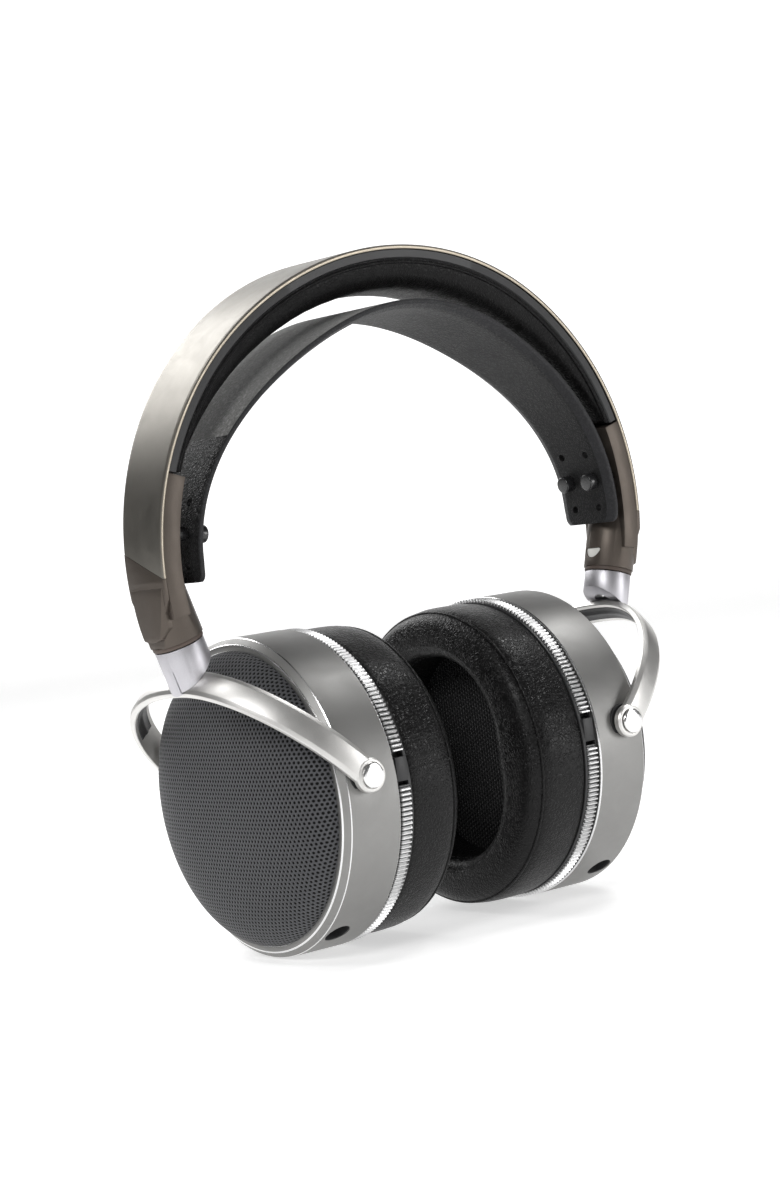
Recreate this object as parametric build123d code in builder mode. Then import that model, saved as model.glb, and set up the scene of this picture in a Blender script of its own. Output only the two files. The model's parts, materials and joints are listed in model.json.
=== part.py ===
# Over-ear headphones: a sprung metal headband with a sewn cushion and a
# suspension strap, two height sliders, two swivelling arched yokes and
# two round ear cups that tilt in the yokes.
#
# Frame: +Z up, X is the wearer's left (+) and right (-), the wearer faces -Y.
# The origin is under the middle of the two cups, on the surface they stand on.
# The headband's plane lies forward of the cups' pivot axis by BAND_OFFSET.
from build123d import *
import math
import os

os.makedirs("parts", exist_ok=True)

# ------------------------------------------------------------------ dimensions
CUP_R = 50.0            # cup housing, outer radius
CUP_Z = 50.0            # cup centre above the surface
BAND_OFFSET = 12.3      # headband plane is this far forward (-Y) of the cups
YB = -BAND_OFFSET
ZC = 124.0              # centre of the headband's arc
BAND_A = 95.5           # half width of the band's outer curve
BAND_B = 90.6           # height of the band's outer curve above ZC
BAND_T = 1.3            # band thickness
SKIN = 0.06             # bedding gap between pieces that lie on each other
# band half width at heights above ZC (it tapers towards its ends)
BAND_HW = [(92.0, 16.3), (85.0, 15.5), (66.0, 13.1), (29.0, 11.1), (0.0, 9.9), (-22.0, 9.2)]
PAD_END = 72.5          # angle from the top where the cushion ends
BLOCK_END = 99.0        # angle where the wide part of the end block ends
BLOCK_T = 7.2           # band outer face to the block's inner face

STEM_X = 86.6           # centre of the sleeve's mouth
STEM_Z = -22.5          # relative to ZC
SLEEVE_R = 8.3
COLLAR_R = 7.7
COLLAR_L = 12.0

PIN_X = 52.05           # pivot pin axis (parallel to Y)
PIN_Z = 56.55
BEZEL = 8.6             # pivot axis to the cup's front edge
ARM_Y = 53.4            # outer face of the yoke arms
PINCAP_Y = 54.5
PINCAP_R = 3.75
ARCH_H = 48.4           # pivot axis to the crown, along the arch
ARCH_TILT = 44.3        # degrees the arch leans out from horizontal
ARM_T = 2.6
ARM_HW = 4.4
ARM_END_R = 5.2

CAP_H = 12.2            # height of the domed fabric cover
CAP_R = 45.2
HOUSING_D = 20.3        # front edge to the housing's rear edge
RING_D = 24.9           # front edge to the toothed ring's rear edge
PAD_SEAM = 42.6
PAD_FACE = 47.1
PAD_R = 49.0

STILT = 17.0            # the stem leans out at the top
STRIP_IN = 3.0          # the slider's strip lies this far inside the stem's axis
STRIP_TOP = 26.0        # top of the strip above the sleeve's mouth
SLOT_TOP = 26.6
TRAVEL = 18.0           # height adjustment on each side
XF = PIN_X + BEZEL      # plane of the cup's front edge

st = Vector(math.sin(math.radians(STILT)), 0, math.cos(math.radians(STILT)))
S = Vector(STEM_X, YB, ZC + STEM_Z)


def save(b, name):
    b.part.label = name
    export_step(b.part, "parts/" + name + ".step")


def save_pair(b, name):
    """The +X piece is the wearer's left; the right one is its mirror image."""
    save(b, name + "_l")
    with BuildPart() as m:
        add(b.part)
        mirror(about=Plane.YZ, mode=Mode.REPLACE)
    save(m, name + "_r")


def r_band(a, off):
    s, c = math.sin(a), math.cos(a)
    return BAND_A * BAND_B / math.hypot(BAND_B * s, BAND_A * c) - off


def arc_pts(off0, a0, a1, n=25, off1=None):
    """Points on the band's curve, off0..off1 mm inside its outer face."""
    pts = []
    for i in range(n):
        t = i / (n - 1)
        a = math.radians(a0 + (a1 - a0) * t)
        o = off0 if off1 is None else off0 + (off1 - off0) * t
        r = r_band(a, o)
        pts.append((r * math.sin(a), ZC + r * math.cos(a)))
    return pts


BANDPL = Plane(origin=(0, YB, 0), x_dir=(1, 0, 0), z_dir=(0, -1, 0))


def sector(o_out, o_in, a0, a1, n=25):
    """Closed outline between two offsets of the band's curve."""
    po = arc_pts(o_out, a0, a1, n)
    pi = arc_pts(o_in, a0, a1, n)
    Spline(*po)
    Line(po[-1], pi[-1])
    Spline(*pi[::-1])
    Line(pi[0], po[0])


def taper(extra=0.0, zlo=-26.0):
    """Outline of the band seen along X, for cutting its edges to the taper."""
    right = [(h + extra, ZC + z) for z, h in BAND_HW]
    right[-1] = (BAND_HW[-1][1] + extra, ZC + zlo)
    pts = right + [(-x, z) for x, z in right[::-1]]
    Polyline(*pts, close=True)


YZ_FRONT = Plane(origin=(0, YB, 0), x_dir=(0, 1, 0), z_dir=(1, 0, 0))

# ------------------------------------------------------------------ headband
# Outer band: spring strip, cut on a slant where the end covers take over.
def parting(w):
    """Height of the slanted parting line, w mm behind the band's middle."""
    return ZC + 1.8 + 0.42 * w


with BuildPart() as outer_band:
    with BuildSketch(BANDPL):
        with BuildLine():
            sector(0.0, BAND_T, -100, 100, 61)
        make_face()
    extrude(amount=20, both=True)
    with BuildSketch(YZ_FRONT):
        with BuildLine():
            taper()
        make_face()
    extrude(amount=120, both=True, mode=Mode.INTERSECT)
    # slanted ends
    with BuildSketch(YZ_FRONT):
        with BuildLine():
            Polyline((-30, parting(-30)), (30, parting(30)), (30, ZC - 60), (-30, ZC - 60), close=True)
        make_face()
    extrude(amount=120, both=True, mode=Mode.SUBTRACT)
save(outer_band, "outer_band")

# Liner: flat black strip under the band that carries the cushion.
with BuildPart() as band_liner:
    with BuildSketch(BANDPL):
        with BuildLine():
            sector(BAND_T + SKIN, 4.2, -PAD_END + 0.3, PAD_END - 0.3, 49)
        make_face()
    extrude(amount=20, both=True)
    with BuildSketch(YZ_FRONT):
        with BuildLine():
            taper(-0.5)
        make_face()
    extrude(amount=120, both=True, mode=Mode.INTERSECT)
save(band_liner, "band_liner")

# Cushion: thick at the top, thinning to its ends.
with BuildPart() as headband_pad:
    with BuildSketch(BANDPL):
        with BuildLine():
            lo = arc_pts(4.2 + SKIN, -PAD_END + 0.6, PAD_END - 0.6, 49)
            inner = []
            for i in range(49):
                t = -1 + 2 * i / 48
                a = math.radians(t * (PAD_END - 0.6))
                off = 6.2 + 7.2 * (1 - abs(t) ** 3.0)
                r = r_band(a, off)
                inner.append((r * math.sin(a), ZC + r * math.cos(a)))
            Spline(*lo)
            Line(lo[-1], inner[-1])
            Spline(*inner[::-1])
            Line(inner[0], lo[0])
        make_face()
    extrude(amount=20, both=True)
    with BuildSketch(YZ_FRONT):
        with BuildLine():
            taper(-0.9)
        make_face()
    extrude(amount=120, both=True, mode=Mode.INTERSECT)
save(headband_pad, "headband_pad")

# Suspension strap: hangs between the end blocks, wider over the head.
STRAP_T = 2.6
PEG_A = 83.3            # angle of the row of pegs


def r_strap(a):
    return 75.81 - 5.88 * math.cos(2 * a) + 1.85 * math.cos(4 * a) + 1.04 * math.cos(a)


def strap_pts(off, amax, n=61):
    pts = []
    for i in range(n):
        a = math.radians(-amax + 2 * amax * i / (n - 1))
        r = r_strap(a) - off
        pts.append((r * math.sin(a), ZC + r * math.cos(a)))
    return pts


STRAP_A = 93.5
HOLE_ROWS = (76.8, 83.3, 89.8)
with BuildPart() as suspension_strap:
    with BuildSketch(BANDPL):
        with BuildLine():
            so = strap_pts(0.0, STRAP_A)
            si = strap_pts(STRAP_T, STRAP_A)
            Spline(*so)
            Line(so[-1], si[-1])
            Spline(*si[::-1])
            Line(si[0], so[0])
        make_face()
    extrude(amount=30, both=True)
    with BuildSketch(YZ_FRONT):
        with BuildLine():
            hw = [(76.0, 23.0), (68.0, 21.9), (56.0, 18.6), (39.0, 15.4), (24.0, 13.8), (10.0, 13.0),
                  (1.0, 12.9), (-3.0, 12.4), (-5.4, 10.6), (-6.2, 8.0)]
            right = [(h, ZC + z) for z, h in hw]
            Polyline(*(right + [(-x, z) for x, z in right[::-1]]), close=True)
        make_face()
    extrude(amount=120, both=True, mode=Mode.INTERSECT)
    for row in HOLE_ROWS:
        a = math.radians(row)
        r = r_strap(a)
        for sx in (-1, 1):
            for dy in (-5.9, 5.9):
                o = (sx * (r - 8) * math.sin(a), YB + dy, ZC + (r - 8) * math.cos(a))
                with BuildSketch(Plane(origin=o, x_dir=(0, 1, 0),
                                       z_dir=(sx * math.sin(a), 0, math.cos(a)))):
                    Circle(1.25)
                extrude(amount=16, mode=Mode.SUBTRACT)
save(suspension_strap, "suspension_strap")

# ------------------------------------------------------------------ end blocks
SLOT_HW = 4.6           # half width of the slider's channel
SLIDE_T = 2.2           # slider strip thickness
SLOT_T = 2.4
CLR = 0.1


def stem_plane(t, x0=S):
    """Plane across the sleeve, t mm up from its mouth."""
    o = x0 + st * t
    return Plane(origin=(o.X, o.Y, o.Z), x_dir=(0, 1, 0), z_dir=(st.X, st.Y, st.Z))


def screw_x(z):
    """Where the block screws' heads lie, just under the band at height z."""
    return BAND_A * math.sqrt(1 - (z / BAND_B) ** 2) - BAND_T - 0.45


def outside(base):
    """Everything beyond the band's curve, which swells out over the sleeve."""
    near = []
    for i in range(27):
        a = 60 + 2 * i
        off = base - 4.0 * max(0.0, (a - 91.0) / 15.0) ** 1.5
        r = r_band(math.radians(a), off)
        near.append((r * math.sin(math.radians(a)), ZC + r * math.cos(math.radians(a))))
    far = [(p[0] * 1.2, ZC + (p[1] - ZC) * 1.2) for p in near]
    Spline(*near)
    Polyline(near[-1], far[-1], (130, ZC), far[0], near[0])


RING_H = 1.6            # gasket at the sleeve's mouth
with BuildPart() as end_block:
    with BuildSketch(BANDPL):
        with BuildLine():
            sector(BAND_T + SKIN, BLOCK_T, PAD_END, BLOCK_END, 13)
        make_face()
    extrude(amount=20, both=True)
    with BuildSketch(YZ_FRONT):
        with BuildLine():
            taper(0.0)
        make_face()
    extrude(amount=120, both=True, mode=Mode.INTERSECT)
    # round sleeve
    with BuildSketch(stem_plane(RING_H)):
        Circle(SLEEVE_R)
    extrude(amount=17.5)
    # nothing proud of the band's underside above the cover
    with BuildSketch(BANDPL):
        with BuildLine():
            outside(BAND_T + SKIN)
        make_face()
    extrude(amount=20, both=True, mode=Mode.SUBTRACT)
    # channel for the slider
    with BuildSketch(stem_plane(0)):
        with Locations((0, STRIP_IN)):
            Rectangle(2 * (SLOT_HW + CLR), SLOT_T)
    extrude(amount=SLOT_TOP, mode=Mode.SUBTRACT)
    # window at the top of the sleeve's inner side, holding the bright inset
    with BuildSketch(Plane(origin=(STEM_X - 14, YB, ZC - 14.2), x_dir=(0, 1, 0), z_dir=(1, 0, 0))):
        with BuildLine():
            l1 = Line((-3.6, 1.2), (3.6, 1.2))
            ThreePointArc((3.6, 1.2), (0, -1.9), (-3.6, 1.2))
        make_face()
    extrude(amount=9.2, mode=Mode.SUBTRACT)
    # peg seats on the inner face
    pa = math.radians(PEG_A)
    for dy in (-5.9, 5.9):
        o = ((r_band(pa, BLOCK_T) - 1.0) * math.sin(pa), YB + dy, ZC + (r_band(pa, BLOCK_T) - 1.0) * math.cos(pa))
        with BuildSketch(Plane(origin=o, x_dir=(0, 1, 0), z_dir=(math.sin(pa), 0, math.cos(pa)))):
            Circle(1.1)
        extrude(amount=2.2, mode=Mode.SUBTRACT)
    # cover screw holes from the outside
    for zz in (8.0, -8.0):
        with BuildSketch(Plane(origin=(110, YB, ZC + zz), x_dir=(0, 1, 0), z_dir=(-1, 0, 0))):
            with Locations((6.6, 0), (-6.6, 0)):
                Circle(0.85)
        extrude(amount=110 - screw_x(zz) + 3.3, mode=Mode.SUBTRACT)
save_pair(end_block, "end_block")

# Outer cover: wide under the band's end, then a rounded tongue down the sleeve.
with BuildPart() as cover_blank:
    with BuildSketch(BANDPL):
        with BuildLine():
            sector(0.0, BAND_T, 80, BLOCK_END, 13)
        make_face()
    extrude(amount=20, both=True)
    with BuildSketch(stem_plane(4.0)):
        Circle(SLEEVE_R + 0.8)
    extrude(amount=15.1)
    with BuildSketch(YZ_FRONT):
        with BuildLine():
            p = [(-9.85, parting(-9.85) - 0.15), (9.85, parting(9.85) - 0.15), (9.5, ZC - 8.5), (7.6, ZC - 12.5),
                 (7.3, ZC - 17.0), (5.0, ZC - 20.2), (0, ZC - 21.6), (-5.0, ZC - 20.2), (-7.3, ZC - 17.0),
                 (-7.6, ZC - 12.5), (-9.5, ZC - 8.5)]
            Polyline(*p, close=True)
        make_face()
    extrude(amount=120, both=True, mode=Mode.INTERSECT)
    with BuildSketch(BANDPL):
        with BuildLine():
            outside(0.0)
        make_face()
    extrude(amount=20, both=True, mode=Mode.SUBTRACT)
    # only the outer side
    with BuildSketch(Plane(origin=(STEM_X - 30, YB, ZC), x_dir=(0, 1, 0), z_dir=(1, 0, 0))):
        Rectangle(60, 90)
    extrude(amount=30 + 3.2, mode=Mode.SUBTRACT)
    # lies on the block
    add(end_block.part, mode=Mode.SUBTRACT)
    with BuildSketch(BANDPL):
        with BuildLine():
            sector(BAND_T, BLOCK_T + 3, 70, BLOCK_END, 13)
        make_face()
    extrude(amount=20, both=True, mode=Mode.SUBTRACT)
    with BuildSketch(stem_plane(0)):
        with Locations((0, STRIP_IN)):
            Rectangle(2 * (SLOT_HW + CLR), SLOT_T)
    extrude(amount=SLOT_TOP, mode=Mode.SUBTRACT)
with BuildPart() as block_cover:
    add(cover_blank.solids().sort_by(SortBy.VOLUME)[-1])
save_pair(block_cover, "block_cover")

# Gasket ring at the sleeve's mouth.
with BuildPart() as sleeve_ring:
    with BuildSketch(stem_plane(0.35)):
        Circle(SLEEVE_R - 0.35)
    extrude(amount=RING_H - 0.35)
    with BuildSketch(stem_plane(0)):
        with Locations((0, STRIP_IN)):
            Rectangle(2 * (SLOT_HW + CLR) + 0.3, SLOT_T + 0.3)
    extrude(amount=5, mode=Mode.SUBTRACT)
save_pair(sleeve_ring, "sleeve_ring")

# Bright half-moon inset in the sleeve's inner side.
with BuildPart() as clip_inset:
    with BuildSketch(Plane(origin=(STEM_X - 14, YB, ZC - 14.2), x_dir=(0, 1, 0), z_dir=(1, 0, 0))):
        with BuildLine():
            l2 = Line((-3.5, 1.1), (3.5, 1.1))
            ThreePointArc((3.5, 1.1), (0, -1.8), (-3.5, 1.1))
        make_face()
    extrude(amount=9.1)
    with BuildSketch(stem_plane(RING_H)):
        Circle(SLEEVE_R - 0.3)
    extrude(amount=17.5, mode=Mode.INTERSECT)
save_pair(clip_inset, "clip_inset")

# Pegs that hold the strap: shank, shoulder behind the strap and domed head.
with BuildPart() as strap_pegs:
    pa = math.radians(PEG_A)
    rin = r_band(pa, BLOCK_T)
    rs_out = r_strap(pa)
    for dy in (-5.9, 5.9):
        for ra, r0, r1 in ((1.05, rs_out - STRAP_T - 0.35, rin + 0.9), (2.3, rs_out + 0.6, rin - 0.12)):
            o = (r0 * math.sin(pa), YB + dy, ZC + r0 * math.cos(pa))
            with BuildSketch(Plane(origin=o, x_dir=(0, 1, 0), z_dir=(math.sin(pa), 0, math.cos(pa)))):
                Circle(ra)
            extrude(amount=r1 - r0)
        o = ((rs_out - STRAP_T - 3.75) * math.sin(pa), YB + dy, ZC + (rs_out - STRAP_T - 3.75) * math.cos(pa))
        with BuildSketch(Plane(origin=o, x_dir=(0, 1, 0), z_dir=(math.sin(pa), 0, math.cos(pa)))):
            Circle(2.75)
        extrude(amount=3.4)
save_pair(strap_pegs, "strap_pegs")

# Four small screws under the band's end hold the block together.
with BuildPart() as block_screws:
    for zz in (8.0, -8.0):
        with BuildSketch(Plane(origin=(screw_x(zz), YB, ZC + zz), x_dir=(0, 1, 0), z_dir=(-1, 0, 0))):
            with Locations((6.6, 0), (-6.6, 0)):
                Circle(0.8)
        extrude(amount=3.2)
save_pair(block_screws, "block_screws")

# ------------------------------------------------------------------ height slider
# Flat strip that slides in the block, ending in a flange and a round stub on
# which the yoke swivels.
with BuildPart() as slider:
    with BuildSketch(stem_plane(0.1)):
        with Locations((0, STRIP_IN)):
            Rectangle(2 * SLOT_HW, SLIDE_T)
    extrude(amount=STRIP_TOP - 0.1)
    with BuildSketch(stem_plane(0.2)):
        Circle(5.2)
    extrude(amount=-1.65)
    with BuildSketch(stem_plane(-0.8)):
        Circle(3.5)
    extrude(amount=-7.4)
save_pair(slider, "height_slider")

# ------------------------------------------------------------------ yoke
at = math.radians(ARCH_TILT)
ad = Vector(math.cos(at), 0, math.sin(at))        # from the pins towards the crown
an = Vector(-math.sin(at), 0, math.cos(at))       # across the strap, up and inwards
ARCH = Plane(origin=(PIN_X, 0, PIN_Z), x_dir=(0, -1, 0),
             z_dir=Vector(0, -1, 0).cross(ad))     # local x = -Y, local y = ad


def arch_pts(off, n=41):
    pts = []
    for i in range(n):
        t = math.pi * i / (n - 1)
        c, s_ = math.cos(t), math.sin(t)
        half = (ARM_Y - off - BAND_OFFSET) if c > 0 else (ARM_Y - off + BAND_OFFSET)
        pts.append((BAND_OFFSET + c * half, (ARCH_H - off) * s_))
    return pts


def arch_band(off0, off1, i0=0, i1=41):
    po = arch_pts(off0)[i0:i1]
    pi = arch_pts(off1)[i0:i1]
    Spline(*po)
    Line(po[-1], pi[-1])
    Spline(*pi[::-1])
    Line(pi[0], po[0])


LIN_T = 0.7
LIN_HW = 2.9
with BuildPart() as yoke_lining:
    with BuildSketch(ARCH):
        with BuildLine():
            arch_band(ARM_T - LIN_T, ARM_T, 6, 35)
        make_face()
    extrude(amount=LIN_HW, both=True)
save_pair(yoke_lining, "yoke_lining")

PIN_R = 2.5
with BuildPart() as yoke:
    with BuildSketch(ARCH):
        with BuildLine():
            arch_band(0.0, ARM_T)
        make_face()
    extrude(amount=ARM_HW, both=True)
    add(yoke_lining.part, mode=Mode.SUBTRACT)
    for sy in (-1, 1):
        # rounded arm end
        with BuildSketch(Plane(origin=(PIN_X, sy * (ARM_Y - ARM_T), PIN_Z), x_dir=(1, 0, 0), z_dir=(0, sy, 0))):
            Circle(ARM_END_R)
        extrude(amount=ARM_T)
        with BuildSketch(Plane(origin=(PIN_X, sy * (ARM_Y - ARM_T - 1), PIN_Z), x_dir=(1, 0, 0), z_dir=(0, sy, 0))):
            Circle(PIN_R)
        extrude(amount=ARM_T + 2, mode=Mode.SUBTRACT)
        with BuildSketch(Plane(origin=(PIN_X, sy * (ARM_Y - 1.2), PIN_Z), x_dir=(1, 0, 0), z_dir=(0, sy, 0))):
            Circle(PINCAP_R + 0.15)
        extrude(amount=3, mode=Mode.SUBTRACT)
save_pair(yoke, "yoke")

# Collar: turned tube under the sleeve; its lower end is cut on the slant of
# the arch and sits on the yoke's crown.
with BuildPart() as collar:
    with BuildSketch(stem_plane(0)):
        Circle(COLLAR_R)
    extrude(amount=-(COLLAR_L + 8))
    # hollow below the swivel bearing
    with BuildSketch(stem_plane(-9.2)):
        Circle(COLLAR_R - 1.3)
    extrude(amount=-20, mode=Mode.SUBTRACT)
    # bearing bore and counterbore for the slider's stub
    with BuildSketch(stem_plane(0)):
        Circle(PIN_R + 1.05)
    extrude(amount=-12, mode=Mode.SUBTRACT)
    with BuildSketch(stem_plane(0)):
        Circle(5.3)
    extrude(amount=-1.55, mode=Mode.SUBTRACT)
    # slanted cut
    crown = Vector(PIN_X, 0, PIN_Z) + ad * (ARCH_H - 0.75)
    with BuildSketch(Plane(origin=(crown.X, YB, crown.Z), x_dir=(0, 1, 0), z_dir=(-ad.X, 0, -ad.Z))):
        Rectangle(60, 60)
    extrude(amount=40, mode=Mode.SUBTRACT)
    add(yoke.part, mode=Mode.SUBTRACT)
    add(yoke_lining.part, mode=Mode.SUBTRACT)
save_pair(collar, "collar")

# Pivot pins: a shank through each arm with a polished cap.
with BuildPart() as pivot_pins:
    for sy in (-1, 1):
        with BuildSketch(Plane(origin=(PIN_X, sy * 44.2, PIN_Z), x_dir=(1, 0, 0), z_dir=(0, sy, 0))):
            Circle(PIN_R)
        extrude(amount=ARM_Y - 1.2 - 44.2)
        with BuildSketch(Plane(origin=(PIN_X, sy * (ARM_Y - 1.2), PIN_Z), x_dir=(1, 0, 0), z_dir=(0, sy, 0))):
            Circle(PINCAP_R)
        extrude(amount=PINCAP_Y - ARM_Y + 1.2)
save_pair(pivot_pins, "pivot_pins")

# ------------------------------------------------------------------ ear cup
PROF = Plane(origin=(XF, 0, CUP_Z), x_dir=(1, 0, 0), z_dir=(0, -1, 0))
CUP_AX = Axis((XF, 0, CUP_Z), (1, 0, 0))


def cup_plane(u):
    """Plane across the cup, u mm outside its front edge; local x = -Y... Z up."""
    return Plane(origin=(XF + u, 0, CUP_Z), x_dir=(0, 1, 0), z_dir=(1, 0, 0))


JACK_ANG = 33.0         # from straight down towards the front
JACK_U = -7.2
ja = math.radians(JACK_ANG)
jdir = Vector(0, -math.sin(ja), -math.cos(ja))
jmid = Vector(XF + JACK_U, 0, CUP_Z)
BUSH_R = 3.6
with BuildPart() as cup_housing:
    with BuildSketch(PROF):
        with BuildLine():
            Polyline((-HOUSING_D, 50.0), (-1.9, 50.0), (0.0, 48.0), (0.2, 45.6), (-2.6, 45.6),
                     (-2.6, 42.5), (-5.0, 42.5), (-5.0, 47.0), (-HOUSING_D, 47.0), close=True)
        make_face()
    revolve(axis=CUP_AX)
    # bosses for the pivot pins
    for sy in (-1, 1):
        with BuildSketch(Plane(origin=(PIN_X, sy * 45.2, PIN_Z), x_dir=(1, 0, 0), z_dir=(0, sy, 0))):
            Circle(5.6)
        extrude(amount=49.9 - 45.2)
    # socket pocket: boss inside the wall, recess outside
    with BuildSketch(Plane(origin=tuple(jmid + jdir * 33.0), x_dir=(1, 0, 0), z_dir=tuple(jdir))):
        Circle(4.2)
    extrude(amount=15.0)
    for sy in (-1, 1):
        with BuildSketch(Plane(origin=(PIN_X, sy * 40, PIN_Z), x_dir=(1, 0, 0), z_dir=(0, sy, 0))):
            Circle(BUSH_R)
        extrude(amount=15, mode=Mode.SUBTRACT)
    with BuildSketch(Plane(origin=tuple(jmid + jdir * 47.3), x_dir=(1, 0, 0), z_dir=tuple(jdir))):
        Circle(4.3)
    extrude(amount=10, mode=Mode.SUBTRACT)
    with BuildSketch(Plane(origin=tuple(jmid + jdir * 30.0), x_dir=(1, 0, 0), z_dir=tuple(jdir))):
        Circle(3.0)
    extrude(amount=20, mode=Mode.SUBTRACT)
save_pair(cup_housing, "cup_housing")

with BuildPart() as pivot_bushes:
    for sy in (-1, 1):
        with BuildSketch(Plane(origin=(PIN_X, sy * 45.2, PIN_Z), x_dir=(1, 0, 0), z_dir=(0, sy, 0))):
            Circle(BUSH_R)
        extrude(amount=49.9 - 45.2)
        with BuildSketch(Plane(origin=(PIN_X, sy * 40, PIN_Z), x_dir=(1, 0, 0), z_dir=(0, sy, 0))):
            Circle(PIN_R + 0.05)
        extrude(amount=20, mode=Mode.SUBTRACT)
save_pair(pivot_bushes, "pivot_bushes")

JACK_R = 1.78
with BuildPart() as jack_socket:
    with BuildSketch(Plane(origin=tuple(jmid + jdir * 31.0), x_dir=(1, 0, 0), z_dir=tuple(jdir))):
        Circle(3.0)
    extrude(amount=16.3)
    with BuildSketch(Plane(origin=tuple(jmid + jdir * 33.0), x_dir=(1, 0, 0), z_dir=tuple(jdir))):
        Circle(JACK_R)
    extrude(amount=20, mode=Mode.SUBTRACT)
save_pair(jack_socket, "jack_socket")


def cap_u(r, h=CAP_H, R=CAP_R, p=3.2):
    return h * math.sqrt(max(0.0, 1 - (r / R) ** p))


def cap_outline(R, h, base, n=15):
    """Half outline of a domed cap, from its rim to the axis, as (u, r)."""
    pts = []
    for i in range(n):
        t = math.pi / 2 * i / (n - 1)
        r = R * math.cos(t) ** (2 / 3.2)
        pts.append((base + h * math.sin(t), r))
    pts[-1] = (base + h, 0.0)
    return pts


# Domed fabric cover, stretched over the perforated plate behind it.
with BuildPart() as cup_cover:
    with BuildSketch(PROF):
        with BuildLine():
            po = cap_outline(CAP_R, CAP_H, -0.6)
            pi = cap_outline(CAP_R - 0.9, CAP_H - 0.9, -0.6)
            Spline(*po)
            Line(po[-1], pi[-1])
            Spline(*pi[::-1])
            Line(pi[0], (-2.6, pi[0][1]))
            Line((-2.6, pi[0][1]), (-2.6, po[0][1]))
            Line((-2.6, po[0][1]), po[0])
        make_face()
    revolve(axis=CUP_AX)
save_pair(cup_cover, "cup_cover")

with BuildPart() as cover_plate:
    with BuildSketch(PROF):
        with BuildLine():
            po = cap_outline(CAP_R - 0.9, CAP_H - 0.9, -0.6)
            pi = cap_outline(CAP_R - 2.3, CAP_H - 2.3, -0.6)
            Spline(*po)
            Line(po[-1], pi[-1])
            Spline(*pi[::-1])
            Line(pi[0], (-2.6, pi[0][1]))
            Line((-2.6, pi[0][1]), (-2.6, po[0][1]))
            Line((-2.6, po[0][1]), po[0])
        make_face()
    revolve(axis=CUP_AX)
    # sound holes
    with BuildSketch(cup_plane(0)):
        for rad_, cnt in ((8, 6), (16, 12), (24, 18), (32, 24)):
            with PolarLocations(rad_, cnt):
                Circle(1.6)
    extrude(amount=30, mode=Mode.SUBTRACT)
save_pair(cover_plate, "cover_plate")

# Driver: frame, bar magnets and the flat diaphragm between them.
with BuildPart() as driver_frame:
    with BuildSketch(PROF):
        with BuildLine():
            Polyline((-HOUSING_D, 46.8), (-15.4, 46.8), (-15.4, 38.5), (-HOUSING_D, 38.5), close=True)
        make_face()
    revolve(axis=CUP_AX)
    for k in range(-2, 3):
        with BuildSketch(Plane(origin=(XF - 15.4, k * 15.0, CUP_Z), x_dir=(0, 1, 0), z_dir=(-1, 0, 0))):
            Rectangle(2.4, 2 * math.sqrt(40.0 ** 2 - (k * 15.0) ** 2))
        extrude(amount=1.6)
    for k in range(6):
        q = math.radians(30 + 60 * k)
        with BuildSketch(Plane(origin=(XF - HOUSING_D, 42.6 * math.cos(q), CUP_Z + 42.6 * math.sin(q)),
                               x_dir=(0, 1, 0), z_dir=(1, 0, 0))):
            Circle(1.1)
        extrude(amount=4.0, mode=Mode.SUBTRACT)
save_pair(driver_frame, "driver_frame")

with BuildPart() as magnets:
    for k in range(-4, 5):
        half = math.sqrt(38.2 ** 2 - (abs(k) * 7.5 + 1.6) ** 2)
        with BuildSketch(Plane(origin=(XF - 17.0, 0, CUP_Z + k * 7.5), x_dir=(0, 1, 0), z_dir=(-1, 0, 0))):
            Rectangle(2 * half - 0.6, 3.2)
        extrude(amount=2.2)
save_pair(magnets, "magnets")

with BuildPart() as diaphragm:
    with BuildSketch(cup_plane(-19.6)):
        Circle(38.4)
    extrude(amount=-0.3)
save_pair(diaphragm, "diaphragm")

# Toothed trim ring in two arcs, broken level with the pins.
GAP_Z = 6.0             # centre of the gaps above the cup's centre
GAP_H = 10.4
with BuildPart() as knurled_ring:
    with BuildSketch(PROF):
        with BuildLine():
            Polyline((-HOUSING_D - 0.75, 49.8), (-RING_D + 0.05, 49.8), (-RING_D + 0.05, 46.1),
                     (-HOUSING_D - 0.75, 46.1), close=True)
        make_face()
    revolve(axis=CUP_AX)
    with BuildSketch(Plane(origin=(XF - 15, 0, CUP_Z + GAP_Z), x_dir=(0, 1, 0), z_dir=(-1, 0, 0))):
        Rectangle(140, GAP_H)
    extrude(amount=20, mode=Mode.SUBTRACT)
save_pair(knurled_ring, "knurled_ring")

# Black ring that carries the toothed ring and the ear pad, with a tab in
# each of the toothed ring's gaps.
with BuildPart() as pad_mount:
    with BuildSketch(PROF):
        with BuildLine():
            Polyline((-HOUSING_D, 48.8), (-HOUSING_D - 0.7, 48.8), (-HOUSING_D - 0.7, 46.0), (-RING_D, 46.0),
                     (-RING_D, 48.8), (-RING_D - 1.0, 48.8), (-RING_D - 1.0, 38.5), (-HOUSING_D, 38.5), close=True)
        make_face()
    revolve(axis=CUP_AX)
    for sy in (-1, 1):
        with BuildSketch(Plane(origin=(XF - HOUSING_D - 0.7, sy * 47.3, CUP_Z + GAP_Z), x_dir=(0, 1, 0), z_dir=(-1, 0, 0))):
            Rectangle(3.0, GAP_H - 3.2)
        extrude(amount=RING_D - HOUSING_D - 0.7)
save_pair(pad_mount, "pad_mount")

with BuildPart() as housing_screws:
    for k in range(6):
        q = math.radians(30 + 60 * k)
        with BuildSketch(Plane(origin=(XF - HOUSING_D, 42.6 * math.cos(q), CUP_Z + 42.6 * math.sin(q)),
                               x_dir=(0, 1, 0), z_dir=(1, 0, 0))):
            Circle(1.1)
        extrude(amount=3.8)
save_pair(housing_screws, "driver_screws")

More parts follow.
